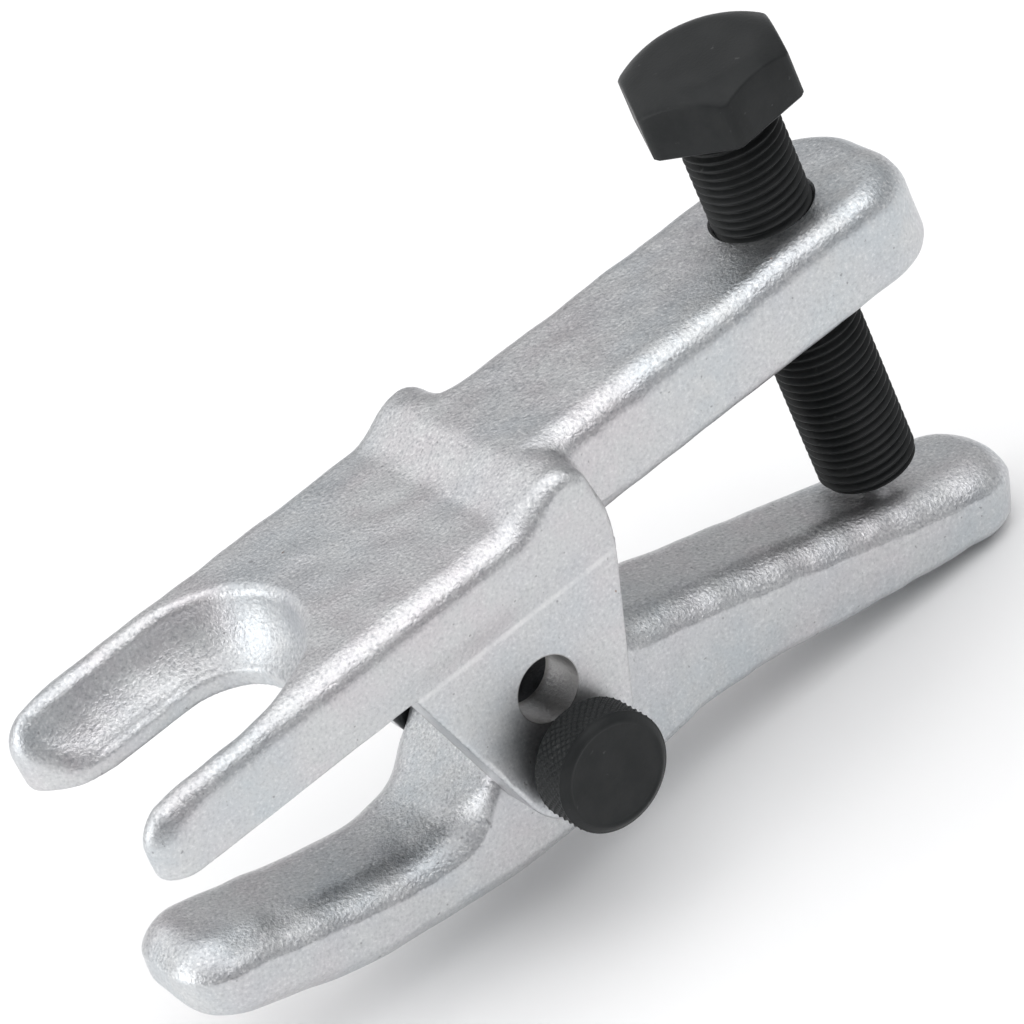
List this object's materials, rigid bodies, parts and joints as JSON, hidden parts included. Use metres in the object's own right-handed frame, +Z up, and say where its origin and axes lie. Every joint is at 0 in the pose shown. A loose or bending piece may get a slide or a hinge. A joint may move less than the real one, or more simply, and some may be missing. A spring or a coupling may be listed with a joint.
{
  "type": "ball joint separator",
  "caption": "Forged ball joint separator: fork jaw and hinged lever on a removable knurled pin, closed by a hexagon forcing screw.",
  "frame": {"origin": "centre of the fork slot's round root, in the plane of the fork's underside", "axes": "+X back along the arm towards the forcing screw, +Y across, +Z up along the forcing screw"},
  "size_m": [0.1608, 0.0546, 0.0987],
  "materials": {
    "forged_steel": "satin zinc plate over a shot-blasted drop forging",
    "black_oxide": "matt black oxide with a trace of oil",
    "bright_steel": "polished hardened steel"
  },
  "bodies": {
    "jaw": {"upper_jaw": "forged_steel"},
    "lever": {"lower_lever": "forged_steel"},
    "thrust": {"thrust_ball": "bright_steel"},
    "screw": {"forcing_screw": "black_oxide"},
    "pin": {"pivot_pin": "black_oxide", "detent_ball": "bright_steel", "detent_spring": "bright_steel"}
  },
  "joints": [
    {"name": "screw_travel", "type": "slide", "parent": "jaw", "child": "thrust", "axis": [0, 0, 1], "range_m": [-0.018, 0.03]},
    {"name": "screw_turn", "type": "hinge", "parent": "thrust", "child": "screw", "pos_m": [0.1117, 0, 0], "axis": [0, 0, 1], "range_deg": [-4330, 7210]},
    {"name": "lever_swing", "type": "hinge", "parent": "jaw", "child": "lever", "pos_m": [0.039, 0, -0.0249], "axis": [0, -1, 0], "range_deg": [-14, 23]},
    {"name": "pin_pull", "type": "slide", "parent": "jaw", "child": "pin", "axis": [0, -1, 0], "range_m": [0, 0.046]}
  ],
  "couplings": [
    {"joint": "screw_turn", "follows": "screw_travel", "rad_per_m": 4188.8},
    {"joint": "lever_swing", "follows": "screw_travel", "rad_per_m": 13.26}
  ]
}
